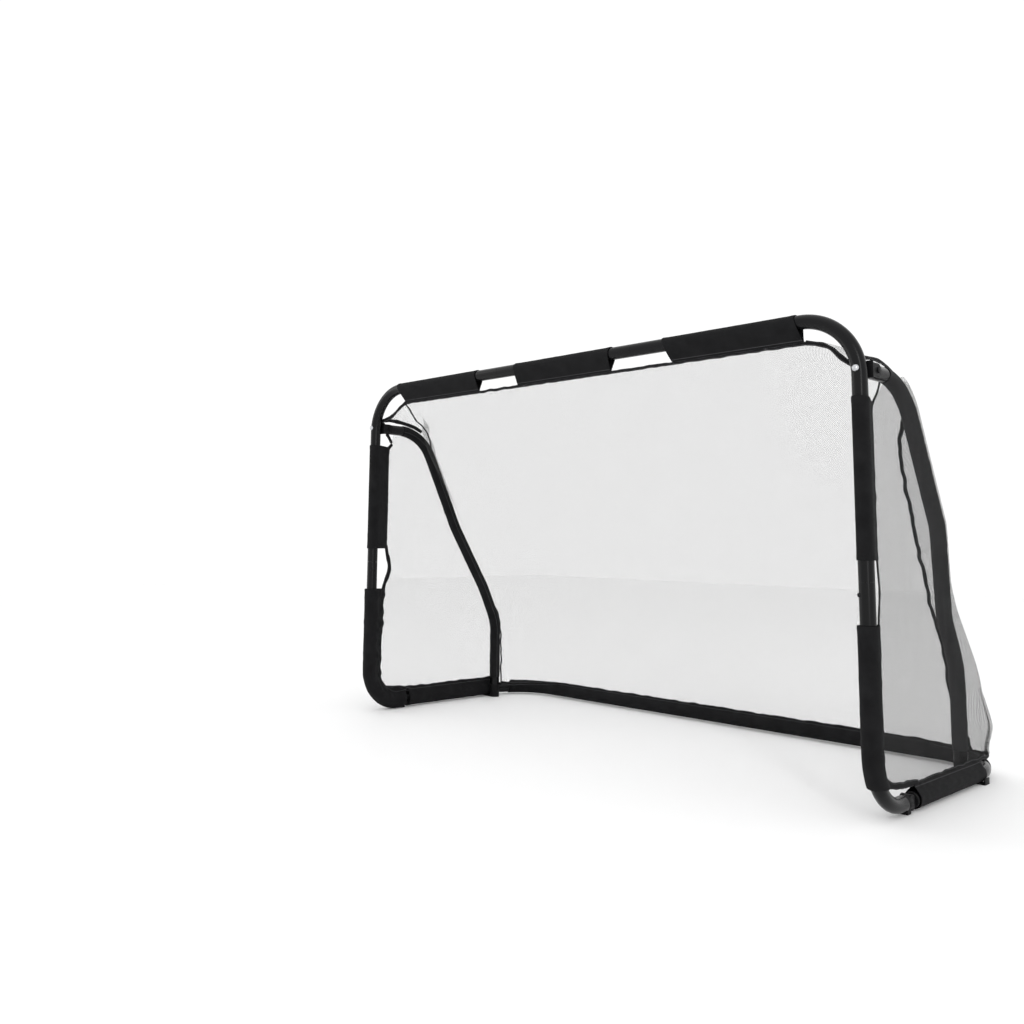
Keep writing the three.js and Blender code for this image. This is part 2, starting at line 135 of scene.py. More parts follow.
def newGroup(name, inputs, outputs):
    group = bpy.data.node_groups.new(name, "ShaderNodeTree")
    for socket, (kind, value) in inputs.items():
        made = group.interface.new_socket(socket, in_out="INPUT", socket_type="NodeSocket" + kind)
        if value is not None:
            made.default_value = value
    for socket, kind in outputs.items():
        group.interface.new_socket(socket, in_out="OUTPUT", socket_type="NodeSocket" + kind)
    return group, group.nodes.new("NodeGroupInput"), group.nodes.new("NodeGroupOutput")


def mathNode(tree, operation, a, b=None, c=None):
    node = tree.nodes.new("ShaderNodeMath")
    node.operation = operation
    for socket, value in zip(node.inputs, (a, b, c)):
        if isinstance(value, (int, float)):
            socket.default_value = value
        elif value is not None:
            tree.links.new(value, socket)
    return node.outputs[0]


def meshThreadsGroup():
    # knitted mesh: two families of threads that cross on the diagonal
    group, into, out = newGroup(
        "meshThreads",
        {"UV": ("Vector", None), "Pitch": ("Float", 0.0036), "Cover": ("Float", 0.1)},
        {"Mask": "Float"},
    )
    split = group.nodes.new("ShaderNodeSeparateXYZ")
    group.links.new(into.outputs["UV"], split.inputs[0])
    u = mathNode(group, "DIVIDE", split.outputs[0], into.outputs["Pitch"])
    v = mathNode(group, "DIVIDE", split.outputs[1], into.outputs["Pitch"])
    masks = []
    for line in (mathNode(group, "ADD", u, v), mathNode(group, "SUBTRACT", u, v)):
        wave = mathNode(group, "PINGPONG", line, 0.5)
        masks.append(mathNode(group, "LESS_THAN", wave, into.outputs["Cover"]))
    group.links.new(mathNode(group, "MAXIMUM", *masks), out.inputs["Mask"])
    return group


def weaveGroup():
    # plain weave with slow colour drift and small slubs
    group, into, out = newGroup(
        "wovenCloth",
        {"UV": ("Vector", None), "Pitch": ("Float", 0.0009), "Color": ("Color", (0.02, 0.02, 0.02, 1)),
         "Worn": ("Color", (0.04, 0.04, 0.04, 1))},
        {"Color": "Color", "Roughness": "Float", "Height": "Float"},
    )
    split = group.nodes.new("ShaderNodeSeparateXYZ")
    group.links.new(into.outputs["UV"], split.inputs[0])
    threads = []
    for axis in (0, 1):
        count = mathNode(group, "DIVIDE", split.outputs[axis], into.outputs["Pitch"])
        threads.append(mathNode(group, "SINE", mathNode(group, "MULTIPLY", count, 2 * math.pi)))
    weave = mathNode(group, "MULTIPLY", *threads)
    drift = group.nodes.new("ShaderNodeTexNoise")
    drift.inputs["Scale"].default_value = 24
    drift.inputs["Detail"].default_value = 5
    drift.inputs["Roughness"].default_value = 0.65
    group.links.new(into.outputs["UV"], drift.inputs["Vector"])
    mix = group.nodes.new("ShaderNodeMix")
    mix.data_type = "RGBA"
    spread = mathNode(group, "MULTIPLY_ADD", drift.outputs["Fac"], 1.6, -0.4)
    toned = mathNode(group, "MULTIPLY_ADD", weave, 0.12, spread)
    mix.clamp_factor = True
    group.links.new(toned, mix.inputs["Factor"])
    group.links.new(into.outputs["Color"], mix.inputs["A"])
    group.links.new(into.outputs["Worn"], mix.inputs["B"])
    group.links.new(mix.outputs["Result"], out.inputs["Color"])
    group.links.new(mathNode(group, "MULTIPLY_ADD", drift.outputs["Fac"], 0.2, 0.62), out.inputs["Roughness"])
    group.links.new(mathNode(group, "MULTIPLY_ADD", weave, 0.5, drift.outputs["Fac"]), out.inputs["Height"])
    return group


def stitchGroup():
    # one row of stitches that runs along U, at a distance across V
    group, into, out = newGroup(
        "stitchRow",
        {"UV": ("Vector", None), "Across": ("Float", 0.004), "Length": ("Float", 0.0035)},
        {"Mask": "Float"},
    )
    split = group.nodes.new("ShaderNodeSeparateXYZ")
    group.links.new(into.outputs["UV"], split.inputs[0])
    away = mathNode(group, "ABSOLUTE", mathNode(group, "SUBTRACT", split.outputs[1], into.outputs["Across"]))
    inRow = mathNode(group, "LESS_THAN", away, 0.0005)
    step = mathNode(group, "FRACT", mathNode(group, "DIVIDE", split.outputs[0], into.outputs["Length"]))
    dash = mathNode(group, "LESS_THAN", step, 0.68)
    group.links.new(mathNode(group, "MULTIPLY", inRow, dash), out.inputs["Mask"])
    return group


def finishGroup():
    # scuffs and orange peel of a coat of paint or a moulding
    group, into, out = newGroup(
        "surfaceFinish",
        {"Color": ("Color", (0.01, 0.01, 0.01, 1)), "Scuff": ("Color", (0.05, 0.05, 0.05, 1)),
         "Smooth": ("Float", 0.2), "Peel": ("Float", 900.0), "Amount": ("Float", 0.25)},
        {"Color": "Color", "Roughness": "Float", "Height": "Float"},
    )
    coords = group.nodes.new("ShaderNodeTexCoord")
    peel = group.nodes.new("ShaderNodeTexNoise")
    group.links.new(into.outputs["Peel"], peel.inputs["Scale"])
    group.links.new(coords.outputs["Object"], peel.inputs["Vector"])
    scuffs = group.nodes.new("ShaderNodeTexNoise")
    scuffs.inputs["Scale"].default_value = 38
    scuffs.inputs["Detail"].default_value = 8
    scuffs.inputs["Roughness"].default_value = 0.72
    group.links.new(coords.outputs["Object"], scuffs.inputs["Vector"])
    rough = group.nodes.new("ShaderNodeMapRange")
    rough.inputs["From Min"].default_value = 0.56
    rough.inputs["From Max"].default_value = 0.72
    group.links.new(scuffs.outputs["Fac"], rough.inputs["Value"])
    marks = mathNode(group, "MULTIPLY", rough.outputs["Result"], into.outputs["Amount"])
    mix = group.nodes.new("ShaderNodeMix")
    mix.data_type = "RGBA"
    group.links.new(marks, mix.inputs["Factor"])
    group.links.new(into.outputs["Color"], mix.inputs["A"])
    group.links.new(into.outputs["Scuff"], mix.inputs["B"])
    group.links.new(mix.outputs["Result"], out.inputs["Color"])
    roughness = mathNode(group, "MULTIPLY_ADD", marks, 0.5, into.outputs["Smooth"])
    group.links.new(roughness, out.inputs["Roughness"])
    group.links.new(peel.outputs["Fac"], out.inputs["Height"])
    return group


def addBump(material, height, strength, distance):
    nodes, links = material.node_tree.nodes, material.node_tree.links
    bump = nodes.new("ShaderNodeBump")
    bump.inputs["Strength"].default_value = strength
    bump.inputs["Distance"].default_value = distance
    links.new(height, bump.inputs["Height"])
    links.new(bump.outputs["Normal"], nodes["Principled BSDF"].inputs["Normal"])


def placeGroup(nodes, links, group, values):
    node = nodes.new("ShaderNodeGroup")
    node.node_tree = group
    for name, value in values.items():
        if hasattr(value, "is_linked"):
            links.new(value, node.inputs[name])
        else:
            node.inputs[name].default_value = value
    return node


def paleFloor():
    material, nodes, links, shader = newMaterial("paleFloor")
    grain = nodes.new("ShaderNodeTexNoise")
    grain.inputs["Scale"].default_value = 3
    ramp = nodes.new("ShaderNodeMapRange")
    ramp.inputs["To Min"].default_value = 0.55
    ramp.inputs["To Max"].default_value = 0.65
    links.new(grain.outputs["Fac"], ramp.inputs["Value"])
    links.new(ramp.outputs["Result"], shader.inputs["Roughness"])
    shader.inputs["Base Color"].default_value = (0.95, 0.95, 0.95, 1)
    shader.inputs["Specular IOR Level"].default_value = 0.1
    return material


def finishMaterial(name, color, scuff, smooth, peel, amount, metallic=0.0, specular=0.5, bump=0.06):
    material, nodes, links, shader = newMaterial(name)
    values = {"Color": (*color, 1), "Scuff": (*scuff, 1), "Smooth": smooth, "Peel": peel, "Amount": amount}
    finish = placeGroup(nodes, links, finishes["surface"], values)
    links.new(finish.outputs["Color"], shader.inputs["Base Color"])
    links.new(finish.outputs["Roughness"], shader.inputs["Roughness"])
    shader.inputs["Metallic"].default_value = metallic
    shader.inputs["Specular IOR Level"].default_value = specular
    addBump(material, finish.outputs["Height"], bump, 0.0004)
    return material


def clothMaterial(name, color, worn, pitch, specular=0.15, stitches=()):
    material, nodes, links, shader = newMaterial(name)
    uv = nodes.new("ShaderNodeUVMap").outputs["UV"]
    values = {"UV": uv, "Pitch": pitch, "Color": (*color, 1), "Worn": (*worn, 1)}
    weave = placeGroup(nodes, links, finishes["weave"], values)
    tone, height = weave.outputs["Color"], weave.outputs["Height"]
    for across in stitches:
        row = placeGroup(nodes, links, finishes["stitch"], {"UV": uv, "Across": across})
        mix = nodes.new("ShaderNodeMix")
        mix.data_type = "RGBA"
        links.new(row.outputs["Mask"], mix.inputs["Factor"])
        links.new(tone, mix.inputs["A"])
        mix.inputs["B"].default_value = (0.075, 0.075, 0.078, 1)
        tone = mix.outputs["Result"]
        height = mathNode(material.node_tree, "ADD", height, row.outputs["Mask"])
    links.new(tone, shader.inputs["Base Color"])
    links.new(weave.outputs["Roughness"], shader.inputs["Roughness"])
    shader.inputs["Specular IOR Level"].default_value = specular
    addBump(material, height, 0.45, 0.0006)
    return material


netLook = {"pitch": 0.0025, "cover": 0.070, "closeCover": 0.105}


def netMaterial(name, cover):
    material, nodes, links, shader = newMaterial(name)
    uv = nodes.new("ShaderNodeUVMap").outputs["UV"]
    values = {"UV": uv, "Pitch": netLook["pitch"], "Cover": cover}
    threads = placeGroup(nodes, links, finishes["threads"], values)
    drift = nodes.new("ShaderNodeTexNoise")
    drift.inputs["Scale"].default_value = 9
    links.new(uv, drift.inputs["Vector"])
    tone = nodes.new("ShaderNodeMapRange")
    tone.inputs["To Min"].default_value = 0.006
    tone.inputs["To Max"].default_value = 0.03
    links.new(drift.outputs["Fac"], tone.inputs["Value"])
    links.new(tone.outputs["Result"], shader.inputs["Base Color"])
    links.new(threads.outputs["Mask"], shader.inputs["Alpha"])
    shader.inputs["Roughness"].default_value = 0.7
    shader.inputs["Specular IOR Level"].default_value = 0.2
    return material


finishes = {
    "surface": finishGroup(),
    "weave": weaveGroup(),
    "stitch": stitchGroup(),
    "threads": meshThreadsGroup(),
}
paint = finishMaterial("blackPaint", color=(0.003, 0.003, 0.0035), scuff=(0.010, 0.010, 0.011), smooth=0.24,
                       peel=700, amount=0.2, specular=0.19)
zinc = finishMaterial("brightZinc", color=(0.55, 0.56, 0.58), scuff=(0.3, 0.3, 0.31), smooth=0.26,
                      peel=1500, amount=0.5, metallic=0.95)
nylon = finishMaterial("blackNylon", color=(0.006, 0.006, 0.0065), scuff=(0.02, 0.02, 0.021), smooth=0.45,
                       peel=1800, amount=0.4, specular=0.08, bump=0.2)
sleeveCloth = clothMaterial("sleeveCloth", color=(0.002, 0.002, 0.0025), worn=(0.014, 0.014, 0.015),
                            pitch=0.0009, specular=0.12, stitches=(0.004,))
# lighter copy of the dark sleeve cloth for the right strut's cover only: a painted lit tone for the side the
# lamps fall on
strutClothPaintedLit = clothMaterial("strutClothPaintedLit", color=(0.016, 0.016, 0.017), worn=(0.034, 0.034, 0.036),
                           pitch=0.0011, specular=0.13)
bindingTape = clothMaterial("bindingTape", color=(0.003, 0.003, 0.0035), worn=(0.012, 0.012, 0.013),
                            pitch=0.0012, specular=0.12, stitches=(0.0015,))
netting = netMaterial("netMesh", netLook["cover"])
closeNetting = netMaterial("closeNetMesh", netLook["closeCover"])
print("materials made")

barLow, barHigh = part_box("crossbar_tube")
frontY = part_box("right_lower_post_tube")[0].y
tubeRadius = (barHigh.z - barLow.z) / 2
barZ = (barHigh.z + barLow.z) / 2
postY = frontY + tubeRadius
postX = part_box("right_top_corner_tube")[1].x - tubeRadius
rearLow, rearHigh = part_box("rear_bar_tube")
railZ = (rearLow.z + rearHigh.z) / 2
rearY = (rearLow.y + rearHigh.y) / 2
pinLow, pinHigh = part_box("right_strut_pin")
strutPin = (pinLow + pinHigh) / 2
legLow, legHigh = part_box("right_strut_tube")
legX = legLow.x + tubeRadius
footY = legHigh.y - tubeRadius
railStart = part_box("right_rail_tube")[0].y
cornerTop = 0.697                       # height of the strut's level run

bends = {"top": 0.1, "bottom": 0.085, "rear": 0.12, "strut": (0.115, 0.12, 0.12, 0.12)}
joints = {"bar": 0.185, "post": 0.362, "rear": 0.4}
strutShape = {"shoulder": 0.162, "knee": 0.2, "insetFrom": 0.45, "insetTo": 0.29, "end": 0.034}


def route(corners, radii, arcSteps=10):
    points = [Vector(corners[0])]
    for before, corner, after, radius in zip(corners, corners[1:], corners[2:], radii):
        corner = Vector(corner)
        back = (Vector(before) - corner).normalized()
        ahead = (Vector(after) - corner).normalized()
        half = back.angle(ahead) / 2
        centre = corner + (back + ahead).normalized() * (radius / math.sin(half))
        start = corner + back * (radius / math.tan(half)) - centre
        axis = back.cross(ahead).normalized()
        for i in range(arcSteps + 1):
            angle = -(math.pi - 2 * half) * i / arcSteps
            points.append(centre + Matrix.Rotation(angle, 3, axis) @ start)
    points.append(Vector(corners[-1]))
    return points


def evenly(points, step):
    # the same route with a point at every step of its length
    ends = [0.0]
    for a, b in zip(points, points[1:]):
        ends.append(ends[-1] + (b - a).length)
    count = max(2, round(ends[-1] / step))
    out, i = [], 0
    for k in range(count + 1):
        at = ends[-1] * k / count
        while i < len(points) - 2 and ends[i + 1] < at:
            i += 1
        share = (at - ends[i]) / max(ends[i + 1] - ends[i], 1e-9)
        out.append(points[i].lerp(points[i + 1], min(share, 1)))
    return out


def smoothed(points, step=0.004):
    # a curve through a few given points
    points = [Vector(p) for p in points]
    padded = [2 * points[0] - points[1]] + points + [2 * points[-1] - points[-2]]
    out = []
    for a, b, c, d in zip(padded, padded[1:], padded[2:], padded[3:]):
        for k in range(12):
            t = k / 12
            out.append(0.5 * (2 * b + (c - a) * t + (2 * a - 5 * b + 4 * c - d) * t * t
                              + (3 * b - a - 3 * c + d) * t ** 3))
    out.append(points[-1])
    return evenly(out, step)


def tangents(points):
    ahead = points[1:] + [points[-1] * 2 - points[-2]]
    behind = [points[0] * 2 - points[1]] + points[:-1]
    return [(a - b).normalized() for a, b in zip(ahead, behind)]


def gridMesh(name, rows, material, uvs=None, closed=False):
    # rows of points, each row the same length, become one skin
    across = len(rows[0])
    corners = [p for row in rows for p in row]
    faces = []
    for j in range(len(rows) - 1):
        for i in range(across if closed else across - 1):
            k = (i + 1) % across
            faces.append((j * across + i, j * across + k, (j + 1) * across + k, (j + 1) * across + i))
    mesh = bpy.data.meshes.new(name)
    mesh.from_pydata([tuple(p) for p in corners], [], faces)
    if uvs:
        layer = mesh.uv_layers.new(name="UVMap")
        for polygon in mesh.polygons:
            for loop in polygon.loop_indices:
                layer.data[loop].uv = uvs[mesh.loops[loop].vertex_index]
    mesh.materials.append(material)
    piece = bpy.data.objects.new(name, mesh)
    bpy.context.collection.objects.link(piece)
    for polygon in mesh.polygons:
        polygon.use_smooth = True
    return piece


def only(piece):
    bpy.ops.object.select_all(action="DESELECT")
    piece.select_set(True)
    bpy.context.view_layer.objects.active = piece


def applyAll(piece):
    only(piece)
    for modifier in list(piece.modifiers):
        bpy.ops.object.modifier_apply(modifier=modifier.name)


def thicken(piece, thickness, levels=0):
    wall = piece.modifiers.new("wall", "SOLIDIFY")
    wall.thickness = thickness
    wall.offset = 0
    if levels:
        rounding = piece.modifiers.new("rounding", "SUBSURF")
        rounding.levels = levels
        rounding.render_levels = levels
    applyAll(piece)


def tubePiece(name, points, radius, body, nodes, material=None):
    curve = bpy.data.curves.new(name, "CURVE")
    curve.dimensions = "3D"
    curve.bevel_depth = radius
    curve.bevel_resolution = 8
    curve.use_fill_caps = True
    spline = curve.splines.new("POLY")
    spline.points.add(len(points) - 1)
    for point, place in zip(spline.points, points):
        point.co = (*place, 1)
    piece = bpy.data.objects.new(name, curve)
    bpy.context.collection.objects.link(piece)
    only(piece)
    bpy.ops.object.convert(target="MESH")
    piece = bpy.context.object
    bpy.ops.object.mode_set(mode="EDIT")
    bpy.ops.mesh.select_all(action="SELECT")
    bpy.ops.mesh.remove_doubles(threshold=1e-5)
    bpy.ops.mesh.normals_make_consistent(inside=False)
    bpy.ops.object.mode_set(mode="OBJECT")
    bpy.ops.object.shade_smooth_by_angle(angle=math.radians(40))
    piece.data.materials.clear()
    piece.data.materials.append(material or paint)
    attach(piece, body)
    if nodes:
        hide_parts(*nodes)
    return piece


def refined(node, material, bevel=0.0004):
    # a small CAD piece with its corners eased
    source = frame["nodes"][node]
    piece = bpy.data.objects.new(node + "_eased", source.data.copy())
    bpy.context.collection.objects.link(piece)
    only(piece)
    bpy.ops.object.mode_set(mode="EDIT")
    bpy.ops.mesh.select_all(action="SELECT")
    bpy.ops.mesh.remove_doubles(threshold=1e-5)
    bpy.ops.mesh.tris_convert_to_quads(face_threshold=math.radians(1), shape_threshold=math.pi)
    bpy.ops.mesh.dissolve_limited(angle_limit=math.radians(1))
    bpy.ops.object.mode_set(mode="OBJECT")
    ease = piece.modifiers.new("ease", "BEVEL")
    ease.width = bevel
    ease.segments = 2
    ease.limit_method = "ANGLE"
    ease.angle_limit = math.radians(40)
    applyAll(piece)
    bpy.ops.object.shade_smooth_by_angle(angle=math.radians(38))
    piece.data.materials.clear()
    piece.data.materials.append(material)
    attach(piece, source["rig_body"])
    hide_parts(node)
    return piece


def rippled(place, scale, seed):
    return noise.noise(Vector(place) * scale + Vector((seed, 2.3 * seed, -seed)))


sleeve = {
    "radius": 0.01325,
    "step": 0.006,                               # between rings of points
    "across": 30,
    "wall": 0.0007,
    "clear": 0.0002,                             # off the tube
    "scale": 55,                                 # of the wrinkles
    "hem": 0.009,
    "hemRise": 0.0005,
    "seamGap": 0.0005,
}


def sleevePiece(name, points, hangs, look, body, nodes):
    # cloth folded over a tube, sewn to itself along a seam that stands off the tube
    points = evenly(points, sleeve["step"])
    runs = tangents(points)
    radius = look.get("radius", sleeve["radius"])
    length = sum((b - a).length for a, b in zip(points, points[1:]))
    across = sleeve["across"]
    rows, uvs = [], []
    perimeter = 0
    for j, (place, run) in enumerate(zip(points, runs)):
        share = j / (len(points) - 1)
        tail = look["tail"] + (look.get("tailEnd", look["tail"]) - look["tail"]) * share
        reach = radius + tail
        lean = math.acos(radius / reach)
        flap = math.sqrt(reach ** 2 - radius ** 2)
        arc = radius * (2 * math.pi - 2 * lean)
        perimeter = max(perimeter, 2 * flap + arc)
        hang = hangs(run)
        side = run.cross(hang)
        row = []
        for i in range(across + 1):
            d = (2 * flap + arc) * i / across
            if d < flap:
                part = d / flap
                s, h = radius * math.sin(lean) * part, reach + (radius * math.cos(lean) - reach) * part
                out = (math.sin(lean), math.cos(lean))
            elif d <= flap + arc:
                angle = lean + (d - flap) / radius
                s, h = radius * math.sin(angle), radius * math.cos(angle)
                out = (math.sin(angle), math.cos(angle))
            else:
                part = (2 * flap + arc - d) / flap
                s, h = -radius * math.sin(lean) * part, reach + (radius * math.cos(lean) - reach) * part
                out = (-math.sin(lean), math.cos(lean))
            low = max(0.0, (h + radius) / (reach + radius))       # 0 over the tube, 1 at the seam
            slant = look.get("slantA", 0) * low * (1 - share) + look.get("slantB", 0) * low * share
            here = place + side * s + hang * h + run * slant
            fold = abs(rippled((length * share, d * 1.6, 0), sleeve["scale"], look["seed"]))
            lift = look["ripple"] * fold * (0.35 + low * look.get("tailRipple", 1))
            ends = min(share, 1 - share) * length
            lift += sleeve["hemRise"] if ends < sleeve["hem"] else 0
            seamGap = sleeve["seamGap"] * (1 if i < across / 2 else -1) * (1 if i in (0, across) else 0)
            here += (side * out[0] + hang * out[1]) * (lift + sleeve["clear"]) + side * seamGap
            row.append(here)
            uvs.append((length * share, min(d, 2 * flap + arc - d)))
        rows.append(row)
    piece = gridMesh(name, rows, sleeveCloth, uvs)
    thicken(piece, sleeve["wall"], 1)
    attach(piece, body)
    if nodes:
        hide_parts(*nodes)
    return piece


def binding(name, points, flatWay, width, body, thick=0.0022, wave=0.0, seed=1.0, step=0.004):
    # a folded tape sewn over an edge: a flattened tube along a curve
    points = smoothed(points, step)
    rows, uvs = [], []
    length = 0
    previous = points[0]
    for place, run in zip(points, tangents(points)):
        length += (place - previous).length
        previous = place
        wide = (flatWay - run * flatWay.dot(run)).normalized()
        deep = run.cross(wide)
        here = place + wide * wave * rippled((length, 0, 0), 45, seed) * 2
        here += deep * wave * rippled((length, 1, 0), 38, seed + 5)
        half = width / 2 * (1 + 0.25 * rippled((length, 2, 0), 60, seed))
        for i in range(10):
            angle = 2 * math.pi * i / 10
            rows.append(here + wide * half * math.cos(angle) + deep * thick / 2 * math.sin(angle))
            uvs.append((length, half * (1 - abs(math.cos(angle)))))
    rings = [rows[k:k + 10] for k in range(0, len(rows), 10)]
    piece = gridMesh(name, rings, bindingTape, uvs, closed=True)
    only(piece)
    bpy.ops.object.mode_set(mode="EDIT")
    bpy.ops.mesh.select_all(action="SELECT")
    bpy.ops.mesh.fill_holes(sides=0)
    bpy.ops.mesh.normals_make_consistent(inside=False)
    bpy.ops.object.mode_set(mode="OBJECT")
    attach(piece, body)
    return piece


def mix(a, b, t):
    return a + (b - a) * t


def ease(t):
    t = min(max(t, 0.0), 1.0)
    return t * t * (3 - 2 * t)


barPoint = lambda x: (x, postY, barZ)
strutSlope = (footY - (frontY + strutShape["shoulder"])) / (cornerTop - strutShape["knee"])
slopeY = lambda z: frontY + strutShape["shoulder"] + strutSlope * (cornerTop - z)


def strutRoute(side, arcSteps=10):
    return route(
        [
            (side * postX, strutPin.y - 0.01, cornerTop),
            (side * postX, frontY + strutShape["shoulder"], cornerTop),
            (side * postX, slopeY(strutShape["insetFrom"]), strutShape["insetFrom"]),
            (side * legX, slopeY(strutShape["insetTo"]), strutShape["insetTo"]),
            (side * legX, footY, strutShape["knee"]),
            (side * legX, footY, strutShape["end"]),
        ],
        bends["strut"],
        arcSteps,
    )


sides = {"right": 1, "left": -1}
tubePiece("crossbar_middle", [Vector(barPoint(-joints["bar"])), Vector(barPoint(joints["bar"]))], tubeRadius,
          "front_frame", ["crossbar_tube"])
rearEnds = [Vector((side * joints["rear"], rearY, railZ)) for side in (-1, 1)]
tubePiece("rear_bar_middle", rearEnds, tubeRadius, "ground_frame", ["rear_bar_tube"])
for name, side in sides.items():
    corner = route([barPoint(side * (joints["bar"] + 0.0004)), barPoint(side * postX),
                    (side * postX, postY, joints["post"] + 0.0004)], [bends["top"]], 24)
    tubePiece(name + "_top_corner", corner, tubeRadius, "front_frame", [name + "_top_corner_tube"])
    lower = route([(side * postX, postY, joints["post"]), (side * postX, postY, railZ),
                   (side * postX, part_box(name + "_lower_post_tube")[1].y, railZ)], [bends["bottom"]], 24)
    tubePiece(name + "_lower_post", lower, tubeRadius, "front_frame", [name + "_lower_post_tube"])
    rail = route([(side * postX, railStart, railZ), (side * postX, rearY, railZ),
                  (side * (joints["rear"] + 0.0004), rearY, railZ)], [bends["rear"]], 24)
    tubePiece(name + "_rail", rail, tubeRadius, "ground_frame", [name + "_rail_tube"])
    tubePiece(name + "_strut_rod", strutRoute(side, 16), tubeRadius, name + "_strut", [name + "_strut_tube"])
print("tubes made")

hardware = {
    "strut_bracket": nylon, "strut_foot": nylon, "hinge_fork": nylon, "hinge_tongue": nylon,
    "bracket_bolt": zinc, "strut_pin": nylon, "hinge_pin": paint,
    "crossbar_button": paint, "post_button": paint, "crossbar_spring": zinc, "post_spring": zinc,
}
for name in sides:
    for part, finish in hardware.items():
        refined(name + "_" + part, finish, 0.00015 if "spring" in part else 0.0004)
print("hardware made")

down = Vector((0, 0, -1))
up = Vector((0, 0, 1))
along = Vector((1, 0, 0))
seamDrop = 0.0214                                # crossbar sleeve's seam below the tube
crossbarLooks = {
    "centre": {"from": -0.136, "to": 0.136, "slantA": 0.004, "slantB": -0.004, "seed": 3.0},
    "left": {"from": -0.545, "to": -0.2545, "slantA": 0.025, "slantB": 0.002, "seed": 5.0},
    "right": {"from": 0.2575, "to": 0.534, "slantA": 0.018, "slantB": 0.0125, "seed": 8.0},
}


def barSleeve(name, look):
    span = sorted((look["from"], look["to"]))
    look = {**look, "tail": seamDrop, "ripple": 0.0016, "tailRipple": 0.7, "on": ["crossbar_tube"]}
    points = route([barPoint(-postX), barPoint(postX)], [])
    if look["to"] > 0.5:
        points = route([barPoint(0), barPoint(postX), (postX, postY, 0.5)], [bends["top"]], 20)
    if look["from"] < -0.5:
        points = route([(-postX, postY, 0.5), barPoint(-postX), barPoint(0)], [bends["top"]], 20)
    points = [p for p in evenly(points, 0.003) if span[0] <= p.x <= span[1] and p.z > 0.7]
    sleevePiece(name + "_crossbar_cover", points, lambda run: down, look, "front_frame",
                [name + "_crossbar_sleeve"])


for name, look in crossbarLooks.items():
    barSleeve(name, look)

postLooks = {
    # each sleeve's tail, radius, ripple and seed; "meets" is where the lower one ends and the rail's starts
    "right": {
        "upper": (0.026, 0.0133, 0.0012, 11.0),
        "lower": (0.021, 0.0160, 0.0016, 12.0),
        "rail": (0.008, 0.0137, 0.0022, 13.0),
        "lowest": 0.058,
        "meets": (0.085, 0.142),
        "slant": 0.008,
    },
    "left": {
        "upper": (0.030, 0.0136, 0.0020, 14.0),
        "lower": (0.021, 0.0165, 0.0042, 15.0),
        "rail": (0.015, 0.0137, 0.0030, 16.0),
        "lowest": 0.0,
        "meets": (0.110, 0.128),
        "slant": 0.002,
    },
}
coverEnds = {"upper": (0.654, 0.395), "lowerTop": 0.296, "rail": 0.418}
inward = lambda run: along.cross(run)            # towards the inside of the frame's bend
for name, side in sides.items():
    looks = postLooks[name]
    lowerEnd, railFrom = looks["meets"]
    tail, radius, ripple, seed = looks["upper"]
    upper = [Vector((side * postX, postY, height)) for height in coverEnds["upper"]]
    sleevePiece(name + "_upper_post_cover", upper, inward,
                {"tail": tail, "radius": radius, "ripple": ripple, "seed": seed, "slantA": looks["slant"],
                 "tailRipple": 1.2, "on": [name + "_top_corner_tube"]},
                "front_frame", [name + "_upper_post_sleeve"])
    tail, radius, ripple, seed = looks["lower"]
    lower = route([(side * postX, postY, coverEnds["lowerTop"]), (side * postX, postY, railZ),
                   (side * postX, postY + 0.2, railZ)], [bends["bottom"]], 20)
    lower = [p for p in evenly(lower, 0.003) if p.z > looks["lowest"] and p.y < frontY + lowerEnd]
    sleevePiece(name + "_lower_post_cover", lower, inward,
                {"tail": tail, "radius": radius, "tailEnd": 0.010, "ripple": ripple, "seed": seed,
                 "slantB": 0.018, "tailRipple": 1.8, "on": [name + "_lower_post_tube"]},
                "front_frame", [name + "_lower_post_sleeve"])
    tail, radius, ripple, seed = looks["rail"]
    rail = [Vector((side * postX, frontY + end, railZ)) for end in (railFrom, coverEnds["rail"])]
    sleevePiece(name + "_rail_cover", rail, inward,
                {"tail": tail, "radius": radius, "ripple": ripple, "seed": seed, "tailRipple": 0.9,
                 "slantA": 0.006, "on": [name + "_rail_tube"]},
                "ground_frame", [name + "_rail_sleeve"])
rearRoute = route([(-postX, rearY - 0.2, railZ), (-postX, rearY, railZ), (postX, rearY, railZ),
                   (postX, rearY - 0.2, railZ)], [bends["rear"], bends["rear"]], 20)
rearCover = [p for p in evenly(rearRoute, 0.003) if p.y > rearY - bends["rear"] * 0.55]
sleevePiece("rear_bar_cover", rearCover, lambda run: up,
            {"tail": 0.006, "ripple": 0.0016, "seed": 21.0, "slantA": 0.006, "slantB": -0.006,
             "on": ["rear_bar_tube", "left_rail_tube", "right_rail_tube"]},
            "ground_frame", ["rear_bar_sleeve"])


strutLook = {"radius": 0.0131, "fold": 0.0012, "wall": 0.0006, "around": 28, "from": 0.094, "lowest": 0.05}


